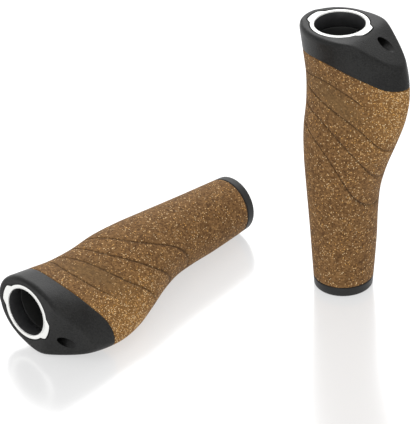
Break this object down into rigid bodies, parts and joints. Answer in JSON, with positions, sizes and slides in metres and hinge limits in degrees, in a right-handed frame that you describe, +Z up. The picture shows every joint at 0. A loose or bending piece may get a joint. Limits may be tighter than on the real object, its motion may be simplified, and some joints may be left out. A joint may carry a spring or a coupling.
{
  "type": "bicycle handlebar grip pair",
  "caption": "Pair of bicycle bar end grips with palm wings, cork rubber covers, black end housings and clamp rings held by set screws; one stands and one lies.",
  "frame": {"origin": "on the surface the pair stands on, at the middle of the pair's bounding box", "axes": "+Z up; the standing right hand grip's bore runs along +Z; seen along +Y the standing grip is to the right (+X) and the lying left hand grip is to the left"},
  "size_m": [0.1882, 0.1194, 0.135],
  "materials": {
    "moulded_nylon": "moulded, satin",
    "hard_plastic": "moulded, matte",
    "cork_rubber": "cork granules in rubber, moulded",
    "moulded_polymer": "moulded, fine matte grain",
    "machined_aluminium": "bright machined face, black anodised bore",
    "black_oxide_steel": "black oxide"
  },
  "bodies": {
    "grips": {"right_core_sleeve": "moulded_nylon", "right_inner_end_ring": "hard_plastic", "right_cork_cover": "cork_rubber", "right_end_housing": "moulded_polymer", "right_clamp_ring": "machined_aluminium", "left_core_sleeve": "moulded_nylon", "left_inner_end_ring": "hard_plastic", "left_cork_cover": "cork_rubber", "left_end_housing": "moulded_polymer", "left_clamp_ring": "machined_aluminium"},
    "right_screw": {"right_clamp_screw": "black_oxide_steel"},
    "left_screw": {"left_clamp_screw": "black_oxide_steel"}
  },
  "joints": [
    {"name": "right_screw_drive", "type": "slide", "parent": "grips", "child": "right_screw", "axis": [0.8434, -0.5373, 0], "range_m": [-0.002, 0.0035]},
    {"name": "left_screw_drive", "type": "slide", "parent": "grips", "child": "left_screw", "axis": [0.6294, -0.6584, -0.4128], "range_m": [-0.002, 0.0035]}
  ]
}
